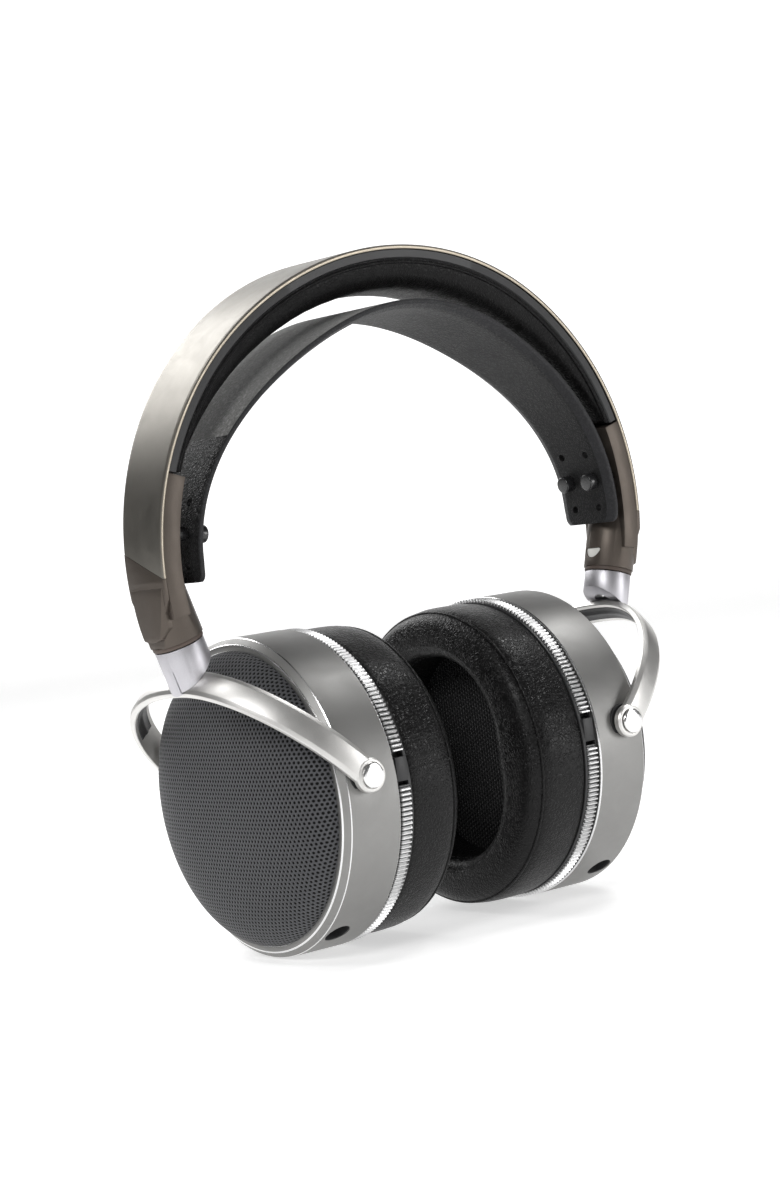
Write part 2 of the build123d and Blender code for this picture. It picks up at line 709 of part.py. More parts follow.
# Mesh cloth over the driver, inside the pad.
with BuildPart() as pad_mesh:
    with BuildSketch(cup_plane(-RING_D - 0.1)):
        Circle(38.3)
    extrude(amount=-0.7)
save_pair(pad_mesh, "pad_mesh")

# Ear pad: soft ring with a rounded-oval opening and a full front roll.
with BuildPart() as ear_pad:
    with BuildSketch(cup_plane(-RING_D - 1.0)):
        Circle(PAD_R)
    extrude(amount=-(PAD_FACE - RING_D - 1.0))
    fillet(ear_pad.faces().sort_by(Axis.X)[0].edges(), 5.5)
    with BuildSketch(cup_plane(-RING_D)):
        RectangleRounded(58, 66, 27)
    extrude(amount=-40, mode=Mode.SUBTRACT)
    fillet(ear_pad.faces().sort_by(Axis.X)[0].inner_wires()[0].edges(), 5.0)
save_pair(ear_pad, "ear_pad")

print("stem", S, st, "travel", TRAVEL)
print("jack mouth", jmid + jdir * 47.3, "direction", jdir)
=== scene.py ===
import bpy
import bmesh
import json
import math
from mathutils import Matrix, Vector, noise


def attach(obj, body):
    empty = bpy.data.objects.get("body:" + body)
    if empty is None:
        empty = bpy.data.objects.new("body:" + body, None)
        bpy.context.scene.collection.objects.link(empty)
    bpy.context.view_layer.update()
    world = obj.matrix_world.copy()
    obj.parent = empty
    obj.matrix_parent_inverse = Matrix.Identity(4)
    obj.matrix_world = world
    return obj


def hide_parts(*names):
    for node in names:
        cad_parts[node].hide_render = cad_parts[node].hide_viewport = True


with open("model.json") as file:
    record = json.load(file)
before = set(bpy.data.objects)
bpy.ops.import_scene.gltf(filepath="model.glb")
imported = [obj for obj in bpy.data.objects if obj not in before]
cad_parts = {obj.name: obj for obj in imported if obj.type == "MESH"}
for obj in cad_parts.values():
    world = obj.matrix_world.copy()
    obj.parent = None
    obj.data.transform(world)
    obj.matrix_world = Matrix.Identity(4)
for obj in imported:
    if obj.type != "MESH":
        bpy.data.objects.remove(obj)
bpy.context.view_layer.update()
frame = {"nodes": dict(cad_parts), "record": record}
NODES = frame["nodes"]
MM = 0.001
rad = math.radians

# ---------------------------------------------------------------- dimensions
CUP_R, CUP_Z, YB, ZC = 50.0, 50.0, -12.3, 124.0
BAND_A, BAND_B, BAND_T = 95.5, 90.6, 1.3
BAND_HW = [(92.0, 16.3), (85.0, 15.5), (66.0, 13.1), (29.0, 11.1), (0.0, 9.9), (-22.0, 9.2)]
PAD_END, BLOCK_T = 72.5, 7.2
PIN_X, PIN_Z, ARM_Y, ARM_T, ARM_HW = 52.05, 56.55, 53.4, 2.6, 4.4
ARCH_H, ARCH_TILT = 48.4, 44.3
XF = 60.65
CAP_R, CAP_H = 45.2, 12.2
HOUSING_D, RING_D = 20.3, 24.9
STRAP_T = 2.6
JACK_ANG, JACK_U = 33.0, -7.2
S = Vector((86.6, YB, ZC - 22.5))
ST = Vector((math.sin(rad(17.0)), 0, math.cos(rad(17.0))))


# ---------------------------------------------------------------- materials
class Mat:
    """Small helper for building a node material round one Principled shader."""

    def __init__(self, name):
        self.m = bpy.data.materials.new(name)
        self.m.use_nodes = True
        self.t = self.m.node_tree
        self.t.nodes.clear()
        self.out = self.t.nodes.new("ShaderNodeOutputMaterial")
        self.b = self.t.nodes.new("ShaderNodeBsdfPrincipled")
        self.t.links.new(self.b.outputs[0], self.out.inputs[0])
        self.x = 0

    def n(self, kind, ins=None, **props):
        node = self.t.nodes.new("ShaderNode" + kind)
        for k, v in props.items():
            setattr(node, k, v)
        for k, v in (ins or {}).items():
            self.put(node.inputs[k], v)
        return node

    def put(self, sock, v):
        if hasattr(v, "is_output") or isinstance(v, bpy.types.NodeSocket):
            self.t.links.new(v, sock)
        else:
            sock.default_value = v

    def coord(self, which="Object"):
        return self.n("TexCoord").outputs[which]

    def noise(self, scale, detail=2.0, rough=0.5, vec=None, dist=0.0):
        v = vec if vec is not None else self.coord()
        return self.n("TexNoise", {"Vector": v, "Scale": scale, "Detail": detail, "Roughness": rough,
                                   "Distortion": dist}).outputs["Fac"]

    def voronoi(self, scale, feature="F1", vec=None, out="Distance", randomness=1.0):
        v = vec if vec is not None else self.coord()
        return self.n("TexVoronoi", {"Vector": v, "Scale": scale, "Randomness": randomness},
                      feature=feature).outputs[out]

    def math(self, op, a, b=0.0, c=None, clamp=False):
        node = self.n("Math", None, operation=op, use_clamp=clamp)
        self.put(node.inputs[0], a)
        self.put(node.inputs[1], b)
        if c is not None:
            self.put(node.inputs[2], c)
        return node.outputs[0]

    def vmath(self, op, a, b=None, out=0):
        node = self.n("VectorMath", None, operation=op)
        self.put(node.inputs[0], a)
        if b is not None:
            self.put(node.inputs[1], b)
        return node.outputs[out]

    def remap(self, v, a, b, c, d, smooth=False):
        node = self.n("MapRange", {"Value": v, "From Min": a, "From Max": b, "To Min": c, "To Max": d})
        if smooth:
            node.interpolation_type = "SMOOTHSTEP"
        return node.outputs[0]

    def mix(self, f, a, b):
        node = self.n("Mix", None, data_type="RGBA")
        self.put(node.inputs[0], f)
        self.put(node.inputs[6], a if not isinstance(a, tuple) else (*a[:3], 1))
        self.put(node.inputs[7], b if not isinstance(b, tuple) else (*b[:3], 1))
        return node.outputs[2]

    def bump(self, h, dist, strength=1.0, prev=None):
        node = self.n("Bump", {"Height": h, "Distance": dist, "Strength": strength})
        if prev is not None:
            self.put(node.inputs["Normal"], prev)
        return node.outputs[0]

    def set(self, **kw):
        names = {"color": "Base Color", "metal": "Metallic", "rough": "Roughness", "normal": "Normal",
                 "coat": "Coat Weight", "coat_rough": "Coat Roughness", "sheen": "Sheen Weight",
                 "sheen_rough": "Sheen Roughness", "aniso": "Anisotropic", "spec": "Specular IOR Level",
                 "ior": "IOR", "alpha": "Alpha", "sheen_tint": "Sheen Tint"}
        for k, v in kw.items():
            if k in ("color", "sheen_tint") and isinstance(v, tuple):
                v = (*v[:3], 1)
            self.put(self.b.inputs[names[k]], v)
        return self.m


def satin(name, col, rough=0.38, var=0.05, grain=4500, depth=0.000012, metal=1.0, dark=0.82, coat=0.0):
    """Bead-blasted, anodised metal: fine sparkle, faint handling marks."""
    k = Mat(name)
    fine = k.noise(grain, 3, 0.6)
    big = k.noise(38, 4, 0.55)
    smudge = k.noise(140, 5, 0.65, dist=0.6)
    c = k.mix(k.remap(big, 0.3, 0.7, 0, 1), tuple(v * dark for v in col), tuple(col))
    c = k.mix(k.remap(fine, 0.35, 0.7, 0.0, 0.22), c, tuple(min(1, v * 1.35) for v in col))
    r = k.math("ADD", k.remap(smudge, 0.3, 0.7, rough - var, rough + var), k.remap(fine, 0.3, 0.7, -0.03, 0.03))
    return k.set(color=c, metal=metal, rough=r, normal=k.bump(fine, depth, 0.7), coat=coat, coat_rough=0.25)


def leather(name, col, rough=0.42, scale=950, depth=0.00010, crease=0.00025, coat=0.06, spec=0.26):
    """Fine-grained black leather: pebbled cells, creases and patchy sheen."""
    k = Mat(name)
    co = k.coord()
    cell = k.n("TexVoronoi", {"Vector": co, "Scale": float(scale), "Randomness": 0.95}, feature="DISTANCE_TO_EDGE").outputs["Distance"]
    cell2 = k.n("TexVoronoi", {"Vector": co, "Scale": scale * 0.43, "Randomness": 1.0}, feature="DISTANCE_TO_EDGE").outputs["Distance"]
    pebb = k.remap(cell, 0.0, 0.22, 0, 1, True)
    pebb2 = k.remap(cell2, 0.0, 0.12, 0, 1, True)
    fold = k.noise(95, 5, 0.62, dist=0.8)
    patch = k.noise(30, 3, 0.5)
    h = k.math("MULTIPLY", pebb, pebb2)
    n1 = k.bump(h, depth, 0.75)
    n2 = k.bump(fold, crease, 0.45, n1)
    c = k.mix(k.remap(h, 0, 1, 0, 1), tuple(v * 0.55 for v in col), tuple(col))
    c = k.mix(k.remap(patch, 0.35, 0.7, 0, 0.45), c, tuple(v * 1.5 for v in col))
    r = k.math("ADD", k.remap(patch, 0.3, 0.7, rough - 0.05, rough + 0.06), k.remap(h, 0, 1, 0.12, 0.0))
    return k.set(color=c, rough=r, normal=n2, coat=coat, coat_rough=0.30, spec=spec)


def weave(name, flat=False, lit=1.0):
    """Open honeycomb weave, laid out along the cloth's own surface (UV in metres)
    or, for a flat disc, in its plane. lit scales the thread colours down, for a darker copy that paints shade."""
    k = Mat(name)
    uv = k.coord("UV")
    if flat:
        turn = k.n("Mapping", {"Vector": k.coord()})
        turn.inputs["Rotation"].default_value = (0, math.pi / 2, 0)
        uv = turn.outputs[0]
    co = k.coord()
    wob = k.n("TexNoise", {"Vector": co, "Scale": 260.0, "Detail": 2.0}).outputs["Color"]
    wv = k.n("VectorMath", None, operation="MULTIPLY_ADD")
    k.put(wv.inputs[0], wob)
    wv.inputs[1].default_value = (0.00028, 0.00028, 0)
    k.put(wv.inputs[2], uv)
    pitch = 0.00150
    q = k.n("VectorMath", None, operation="MULTIPLY")
    k.put(q.inputs[0], wv.outputs[0])
    q.inputs[1].default_value = (1 / pitch, 1 / (pitch * 1.7320508), 0)

    def lattice(off):
        s = k.n("VectorMath", None, operation="ADD")
        k.put(s.inputs[0], q.outputs[0])
        s.inputs[1].default_value = (off, off, 0)
        f = k.vmath("FRACTION", s.outputs[0])
        d = k.n("VectorMath", None, operation="SUBTRACT")
        k.put(d.inputs[0], f)
        d.inputs[1].default_value = (0.5, 0.5, 0)
        e = k.n("VectorMath", None, operation="MULTIPLY")
        k.put(e.inputs[0], d.outputs[0])
        e.inputs[1].default_value = (1.0, 1.7320508, 0)
        return k.vmath("LENGTH", e.outputs[0], out=1)

    d = k.math("MINIMUM", lattice(0.0), lattice(0.5))
    hole = k.remap(d, 0.22, 0.40, 1, 0, True)
    fib = k.noise(5200, 3, 0.6)
    thr = k.noise(1500, 2, 0.5)
    tone = k.noise(26, 3, 0.5)
    # lit below 1 darkens the threads: painted shade on a copy of this weave
    thread = k.mix(k.remap(fib, 0.3, 0.7, 0, 1), tuple(lit * v for v in (0.040, 0.041, 0.045)), tuple(lit * v for v in (0.120, 0.122, 0.130)))
    thread = k.mix(k.remap(tone, 0.35, 0.65, 0, 0.35), thread, tuple(lit * v for v in (0.085, 0.086, 0.092)))
    # holes painted near-black: the dark parts behind the cloth, deepened into painted shade of the cavity
    c = k.mix(hole, thread, (0.002, 0.002, 0.0022))
    h = k.math("SUBTRACT", k.math("MULTIPLY", thr, 0.35), hole)
    n = k.bump(h, 0.00035, 0.9)
    n = k.bump(fib, 0.00004, 0.6, n)
    return k.set(color=c, rough=k.remap(hole, 0, 1, 0.72, 0.95), normal=n, sheen=0.18, sheen_rough=0.4, spec=0.25)


def plastic(name, col, rough=0.45, grain=1800, depth=0.00003, coat=0.0, metal=0.0):
    k = Mat(name)
    fine = k.noise(grain, 3, 0.6)
    big = k.noise(60, 3, 0.5)
    c = k.mix(k.remap(big, 0.3, 0.7, 0, 1), tuple(v * 0.8 for v in col), tuple(min(1, v * 1.15) for v in col))
    r = k.math("ADD", k.remap(fine, 0.3, 0.7, rough - 0.04, rough + 0.06), 0.0)
    return k.set(color=c, rough=r, normal=k.bump(fine, depth, 0.6), coat=coat, metal=metal)


def suede(name, col):
    """Napped, speckled split leather."""
    k = Mat(name)
    nap = k.noise(1500, 4, 0.75)
    fleck = k.noise(700, 2, 0.6)
    big = k.noise(45, 4, 0.6)
    c = k.mix(k.remap(nap, 0.35, 0.65, 0, 1), tuple(v * 0.45 for v in col), tuple(v * 1.35 for v in col))
    c = k.mix(k.remap(fleck, 0.55, 0.68, 0, 0.6), c, tuple(v * 2.1 for v in col))
    c = k.mix(k.remap(big, 0.4, 0.7, 0, 0.4), c, tuple(v * 0.6 for v in col))
    return k.set(color=c, rough=0.9, normal=k.bump(nap, 0.00016, 0.9), sheen=0.35, sheen_rough=0.45, spec=0.2)


M_BAND = satin("band_metal", (0.235, 0.222, 0.198), 0.40, 0.04, 5200, 0.000010, dark=0.9)
M_EDGE = satin("band_edge", (0.36, 0.32, 0.26), 0.36, 0.03, 5200, 0.000006)
M_BLOCK = satin("block_brown", (0.112, 0.094, 0.080), 0.46, 0.05, 4200, 0.000016, metal=0.75, dark=0.85)
M_COLLAR = satin("collar_satin", (0.60, 0.59, 0.62), 0.46, 0.04, 5200, 0.000010)
M_YOKE = satin("yoke_satin", (0.74, 0.73, 0.71), 0.42, 0.04, 5200, 0.000010)
M_HOUSE = satin("housing_satin", (0.30, 0.297, 0.290), 0.52, 0.04, 5200, 0.000010, dark=0.92)
M_CHAMFER = satin("cut_edge", (0.90, 0.90, 0.90), 0.20, 0.03, 5200, 0.000004)
M_PIN = satin("pin_polished", (0.95, 0.95, 0.95), 0.14, 0.03, 5200, 0.000002)
M_KNURL = satin("knurl_bright", (0.74, 0.74, 0.74), 0.36, 0.04, 5200, 0.000006)
# dark copy of the knurl metal for the groove bottoms: painted shade
M_KNURL_GROOVE_SHADE = satin("knurl_groove_painted_shade", (0.055, 0.055, 0.056), 0.55, 0.04, 5200, 0.000006)
M_STEEL = satin("screw_steel", (0.42, 0.42, 0.42), 0.35, 0.05)
M_SLIDER = satin("slider_steel", (0.62, 0.62, 0.62), 0.30, 0.05)
M_WHITE = plastic("inset_white", (0.84, 0.83, 0.79), 0.35, coat=0.2)
M_GASKET = plastic("gasket_brown", (0.085, 0.062, 0.050), 0.6)
M_DARK = plastic("matt_black", (0.018, 0.018, 0.019), 0.62)
M_LINING = plastic("lining_black", (0.020, 0.020, 0.021), 0.50, coat=0.1)
M_PEG = plastic("peg_black", (0.016, 0.016, 0.017), 0.28, coat=0.3)
M_MOUNT = plastic("mount_black", (0.020, 0.020, 0.021), 0.42)
M_SOCKET = plastic("socket_black", (0.02, 0.02, 0.02), 0.25, coat=0.3)
M_EAR = leather("ear_leather", (0.006, 0.0058, 0.006), 0.27, 900, 0.00016, 0.00004, 0.03, 0.20)
M_HEAD = leather("head_leather", (0.006, 0.0058, 0.006), 0.31, 950, 0.00015, 0.00012, 0.03, 0.14)
M_STRAP = leather("strap_leather", (0.011, 0.011, 0.0114), 0.48, 1000, 0.00016, 0.00010, 0.03, 0.20)
M_STRAP_EDGE = leather("strap_edge", (0.024, 0.024, 0.026), 0.50, 1050, 0.00006, 0.00010)
M_SUEDE = suede("strap_suede", (0.17, 0.17, 0.165))
M_WEAVE = weave("cover_weave")
# black pad mesh, its threads darkened further by lit=0.12: painted shade inside the pad opening
M_MESH_PAINTED_SHADE = weave("mesh_black", flat=True, lit=0.12)
M_FILM = satin("film_silver", (0.8, 0.8, 0.8), 0.25)
M_STITCH = plastic("stitch_thread", (0.030, 0.030, 0.031), 0.55, 5000, 0.00006)


# ---------------------------------------------------------------- mesh helpers
def make(name, verts, faces, mats, idx=None, uvs=None, sharp=35, sg=1):
    """A mesh object from points in mm; sg=-1 mirrors it to the wearer's right."""
    me = bpy.data.meshes.new(name)
    vs = [(sg * v[0] * MM, v[1] * MM, v[2] * MM) for v in verts]
    fs = [tuple(reversed(f)) for f in faces] if sg < 0 else faces
    me.from_pydata(vs, [], fs)
    for m in (mats if isinstance(mats, (list, tuple)) else [mats]):
        me.materials.append(m)
    if idx is not None:
        me.polygons.foreach_set("material_index", idx)
    if uvs is not None:
        layer = me.uv_layers.new(name="uv")
        for p in me.polygons:
            for li in p.loop_indices:
                layer.data[li].uv = uvs[me.loops[li].vertex_index]
    me.polygons.foreach_set("use_smooth", [True] * len(me.polygons))
    me.validate()
    if sharp:
        me.set_sharp_from_angle(angle=rad(sharp))
    me.update()
    o = bpy.data.objects.new(name, me)
    bpy.context.scene.collection.objects.link(o)
    return o


def grid(name, P, mats, closed_i=False, closed_j=True, caps=True, flip=False, sg=1, sharp=35, matfn=None, uvfn=None):
    """A surface through rows P[i][j]; j runs round the section."""
    ni, nj = len(P), len(P[0])
    verts = [p for row in P for p in row]
    faces, idx = [], []
    for i in range(ni if closed_i else ni - 1):
        i2 = (i + 1) % ni
        for j in range(nj if closed_j else nj - 1):
            j2 = (j + 1) % nj
            f = (i * nj + j, i * nj + j2, i2 * nj + j2, i2 * nj + j)
            faces.append(tuple(reversed(f)) if flip else f)
            idx.append(matfn(i, j) if matfn else 0)
    if caps and closed_j and not closed_i:
        a = tuple(range(nj))
        b = tuple((ni - 1) * nj + j for j in range(nj))
        faces += [a if flip else tuple(reversed(a)), tuple(reversed(b)) if flip else b]
        idx += [matfn(0, 0) if matfn else 0] * 2
    uvs = [uvfn(i, j) for i in range(ni) for j in range(nj)] if uvfn else None
    return make(name, verts, faces, mats, idx, uvs, sharp, sg)


def outward(o):
    """Turns a closed piece's faces outwards."""
    bm = bmesh.new()
    bm.from_mesh(o.data)
    bmesh.ops.recalc_face_normals(bm, faces=bm.faces)
    bm.to_mesh(o.data)
    bm.free()
    return o


def lathe(name, prof, origin, axis, mats, sg=1, n=192, matfn=None, sharp=30, closed=True):
    """Turns profile (along, r) about an axis through origin."""
    ax = Vector(axis).normalized()
    e1 = Vector((0, 0, 1)) if abs(ax.z) < 0.9 else Vector((0, 1, 0))
    e1 = (e1 - ax * e1.dot(ax)).normalized()
    e2 = ax.cross(e1)
    o = Vector(origin)
    P = []
    for i in range(n):
        t = 2 * math.pi * i / n
        d = e1 * math.cos(t) + e2 * math.sin(t)
        P.append([tuple(o + ax * a + d * max(r, 0.001)) for a, r in prof])
    ob = grid(name, P, mats, closed_i=True, closed_j=closed, caps=False, sg=sg, sharp=sharp, matfn=matfn)
    return outward(ob)


def cad_copy(node, mat, bevel=0.2, name=None, seg=2, angle=28):
    """A fine-edged copy of a CAD node, for pieces whose shape is already right."""
    src = NODES[node]
    me = src.data.copy()
    me.name = (name or node) + "_v"
    bm = bmesh.new()
    bm.from_mesh(me)
    bmesh.ops.remove_doubles(bm, verts=bm.verts, dist=2e-6)
    bmesh.ops.dissolve_limit(bm, angle_limit=rad(0.6), verts=bm.verts, edges=bm.edges)
    bm.to_mesh(me)
    bm.free()
    me.materials.clear()
    me.materials.append(mat)
    for p in me.polygons:
        p.material_index = 0
    o = bpy.data.objects.new(name or (node + "_v"), me)
    bpy.context.scene.collection.objects.link(o)
    me.polygons.foreach_set("use_smooth", [True] * len(me.polygons))
    if bevel:
        b = o.modifiers.new("bevel", "BEVEL")
        b.width = bevel * MM
        b.segments = seg
        b.limit_method = "ANGLE"
        b.angle_limit = rad(angle)
        b.harden_normals = False
        b.use_clamp_overlap = True
        apply(o)
    o.data.set_sharp_from_angle(angle=rad(32))
    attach(o, body_of(node))
    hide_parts(node)
    return o


def apply(o):
    dg = bpy.context.evaluated_depsgraph_get()
    me = bpy.data.meshes.new_from_object(o.evaluated_get(dg))
    o.modifiers.clear()
    old = o.data
    o.data = me
    bpy.data.meshes.remove(old)
    return o


def body_of(node):
    for b, ns in frame["record"]["behaviour"]["bodies"].items():
        if node in ns:
            return b


def done(o, body, slot, *nodes):
    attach(o, body)
    if nodes:
        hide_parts(*nodes)
    return o


def lerp(tab, z):
    t = sorted(tab)
    if z <= t[0][0]:
        return t[0][1]
    for (z0, a), (z1, b) in zip(t, t[1:]):
        if z <= z1:
            return a + (b - a) * (z - z0) / (z1 - z0)
    return t[-1][1]


def smooth_tab(tab, z, w=7.0):
    return sum(lerp(tab, z + w * k / 4) for k in range(-4, 5)) / 9


def r_band(a, off):
    return BAND_A * BAND_B / math.hypot(BAND_B * math.sin(a), BAND_A * math.cos(a)) - off


def arc_pt(a, off, w):
    r = r_band(a, off)
    return (r * math.sin(a), YB + w, ZC + r * math.cos(a))


def band_hw(a, off=0.0):
    return smooth_tab(BAND_HW, r_band(a, 0) * math.cos(a))


# ---------------------------------------------------------------- headband
# Outer strip with rolled edges; its ends follow the slanted parting line.
def end_angle(w):
    z = 1.8 + 0.42 * w
    return math.atan2(BAND_A * math.sqrt(1 - (z / BAND_B) ** 2), z)


rows = []
NB = 220
sec = [(-1, 0.45, 0.0)] + [(-0.9 + 1.8 * k / 10, 0.0, 0.0) for k in range(11)] + [(1, 0.45, 0.0)]
sec += [(1, 0.13, 0.13), (1, 0.0, 0.45), (1, 0.0, BAND_T - 0.25), (1, 0.12, BAND_T), (1, 0.6, BAND_T)]
sec += [(0, 0, BAND_T)]
sec += [(-1, 0.6, BAND_T), (-1, 0.12, BAND_T), (-1, 0.0, BAND_T - 0.25), (-1, 0.0, 0.45), (-1, 0.13, 0.13)]
for i in range(NB + 1):
    t = -1 + 2 * i / NB
    row = []
    for f, inset, off in sec:
        a0 = t * rad(88.5)
        hw = band_hw(a0)
        w = f * hw - (inset if f > 0 else -inset if f < 0 else 0)
        a = t * (end_angle(w) if abs(t) > 0 else 1.5)
        row.append(arc_pt(a, off, w))
    rows.append(row)
band = outward(grid("outer_band_v", rows, [M_BAND, M_EDGE], matfn=lambda i, j: 1 if j in (13, 14, 20, 21) else 0, sharp=28))
done(band, "headband", "band_metal", "outer_band")

# Liner and cushion under the band.
PE = rad(PAD_END - 0.4)


def pad_depth(t):
    return 6.2 + 7.2 * (1 - abs(t) ** 3.0)


rows = []
for i in range(121):
    t = -1 + 2 * i / 120
    a = t * PE
    hw = band_hw(a) - 0.45
    s2 = [(-hw + 0.3, 1.36), (hw - 0.3, 1.36), (hw, 1.6), (hw, 3.9), (hw - 0.4, 4.2), (-hw + 0.4, 4.2), (-hw, 3.9), (-hw, 1.6)]
    rows.append([arc_pt(a, off, w) for w, off in s2])
done(outward(grid("band_liner_v", rows, M_LINING, sharp=30)), "headband", "liner_black", "band_liner")

rows = []
NP = 300
for i in range(NP + 1):
    t = -1 + 2 * i / NP
    a = t * (PE - rad(0.2))
    hw = band_hw(a) - 0.95
    D = pad_depth(t) - 0.1
    H = D - 4.25
    endf = min(1.0, (1 - abs(t)) / 0.018) ** 0.5
    row = []
    m = 40
    for j in range(m + 1):
        q = -1 + 2 * j / m
        # crowned section, rounder towards its edges, with a welt at the rim
        prof = (1 - abs(q) ** 4.2) ** (1 / 2.3)
        pk = 0.0
        if 0.02 < abs(t) < 0.99:
            pk = 0.12 * noise.noise(Vector((t * 26, q * 2.2, 3.1))) * (1 - abs(q) ** 2) + \
                0.10 * noise.noise(Vector((t * 70, q * 5, 9.7))) * abs(q) ** 3
        w = hw * q
        off = 4.25 + 0.6 + (H - 0.6) * prof * (0.35 + 0.65 * endf) + pk
        row.append(arc_pt(a, min(off, D), w))
    row.append(arc_pt(a, 4.28, hw))
    row.append(arc_pt(a, 4.28, 0))
    row.append(arc_pt(a, 4.28, -hw))
    rows.append(row)
cushion = outward(grid("headband_pad_v", rows, M_HEAD, sharp=60))
done(cushion, "headband", "head_leather", "headband_pad")

# Piping along both edges of the cushion.
for s in (-1, 1):
    rows = []
    for i in range(241):
        t = -1 + 2 * i / 240
        a = t * (PE - rad(0.4))
        hw = band_hw(a) - 1.0
        D = pad_depth(t) - 4.25
        row = []
        for j in range(10):
            q = 2 * math.pi * j / 10
            row.append(arc_pt(a, 4.25 + 1.05 + 0.62 * math.sin(q), s * (hw - 0.10) + 0.62 * math.cos(q)))
        rows.append(row)
    done(outward(grid("headband_piping_%s" % ("front" if s < 0 else "back"), rows, M_HEAD, sharp=60)), "headband", "head_leather")


# ---------------------------------------------------------------- strap
def r_strap(a):
    return 75.81 - 5.88 * math.cos(2 * a) + 1.85 * math.cos(4 * a) + 1.04 * math.cos(a)


STRAP_HW = [(76.0, 23.0), (68.0, 21.9), (56.0, 18.6), (39.0, 15.4), (24.0, 13.8), (10.0, 13.0), (1.0, 12.9),
            (-3.0, 12.4), (-4.2, 11.6), (-5.1, 10.3)]


def strap_pt(a, off, w):
    r = r_strap(a) - off
    return (r * math.sin(a), YB + w, ZC + r * math.cos(a))


def strap_hw(a):
    z = r_strap(a) * math.cos(a)
    return smooth_tab(STRAP_HW, z) if z > 6 else lerp(STRAP_HW, z)


rows = []
NS = 320
for i in range(NS + 1):
    t = -1 + 2 * i / NS
    a = t * rad(93.4)
    hw = strap_hw(a)
    B = 2.7
    s3 = [(-hw + 0.5, 0.0)] + [((hw - 1.0) * (-1 + 2 * k / 12), 0.0) for k in range(1, 12)] + [(hw - 0.5, 0.0)]
    s3 += [(hw - 0.12, 0.14), (hw, 0.5), (hw, 1.1), (hw - 0.15, 1.42), (hw - 0.5, 1.62), (hw - B, 2.42), (hw - B - 0.35, STRAP_T)]
    s3 += [((hw - B - 0.4) * (1 - 2 * k / 12), STRAP_T) for k in range(1, 12)]
    s3 += [(-hw + B + 0.35, STRAP_T), (-hw + B, 2.42), (-hw + 0.5, 1.62), (-hw + 0.15, 1.42), (-hw, 1.1), (-hw, 0.5), (-hw + 0.12, 0.14)]
    rows.append([strap_pt(a, off, w) for w, off in s3])
NJ = len(rows[0])


def strap_mat(i, j):
    if j < 12:
        return 2 if abs(-1 + 2 * i / NS) * 93.4 < 62 else 0
    if 12 <= j <= 18 or j >= 31:
        return 1
    return 0


strap = outward(grid("suspension_strap_v", rows, [M_STRAP, M_STRAP_EDGE, M_SUEDE], matfn=strap_mat, sharp=40))
# Peg holes, three rows of two at each end.
cv, cf = [], []
for row_a in (76.8, 83.3, 89.8):
    a = rad(row_a)
    for sx in (-1, 1):
        for dy in (-5.9, 5.9):
            d = Vector((sx * math.sin(a), 0, math.cos(a)))
            e = Vector((0, 1, 0))
            g = d.cross(e)
            base = len(cv)
            for r0 in (r_strap(a) - 6, r_strap(a) + 4):
                for q in range(20):
                    t = 2 * math.pi * q / 20
                    p = Vector((0, YB + dy, ZC)) + d * r0 + e * 1.25 * math.cos(t) + g * 1.25 * math.sin(t)
                    cv.append(tuple(p))
            for q in range(20):
                q2 = (q + 1) % 20
                cf.append((base + q, base + q2, base + 20 + q2, base + 20 + q))
            cf.append(tuple(base + q for q in reversed(range(20))))
            cf.append(tuple(base + 20 + q for q in range(20)))
cutter = outward(make("hole_cutter", cv, cf, M_DARK, sharp=0))
bo = strap.modifiers.new("holes", "BOOLEAN")
bo.operation = "DIFFERENCE"
bo.object = cutter
bo.solver = "EXACT"
apply(strap)
bpy.data.objects.remove(cutter)
strap.data.set_sharp_from_angle(angle=rad(40))
done(strap, "headband", "strap_leather", "suspension_strap")


# ---------------------------------------------------------------- yoke
AD = Vector((math.cos(rad(ARCH_TILT)), 0, math.sin(rad(ARCH_TILT))))
AN = Vector((-math.sin(rad(ARCH_TILT)), 0, math.cos(rad(ARCH_TILT))))
PIN = Vector((PIN_X, 0, PIN_Z))


def arch(off, t, n):
    c, s = math.cos(t), math.sin(t)
    half = (ARM_Y - off + YB) if c > 0 else (ARM_Y - off - YB)
    return tuple(PIN + Vector((0, -1, 0)) * (-YB + c * half) + AD * ((ARCH_H - off) * s) + AN * n)


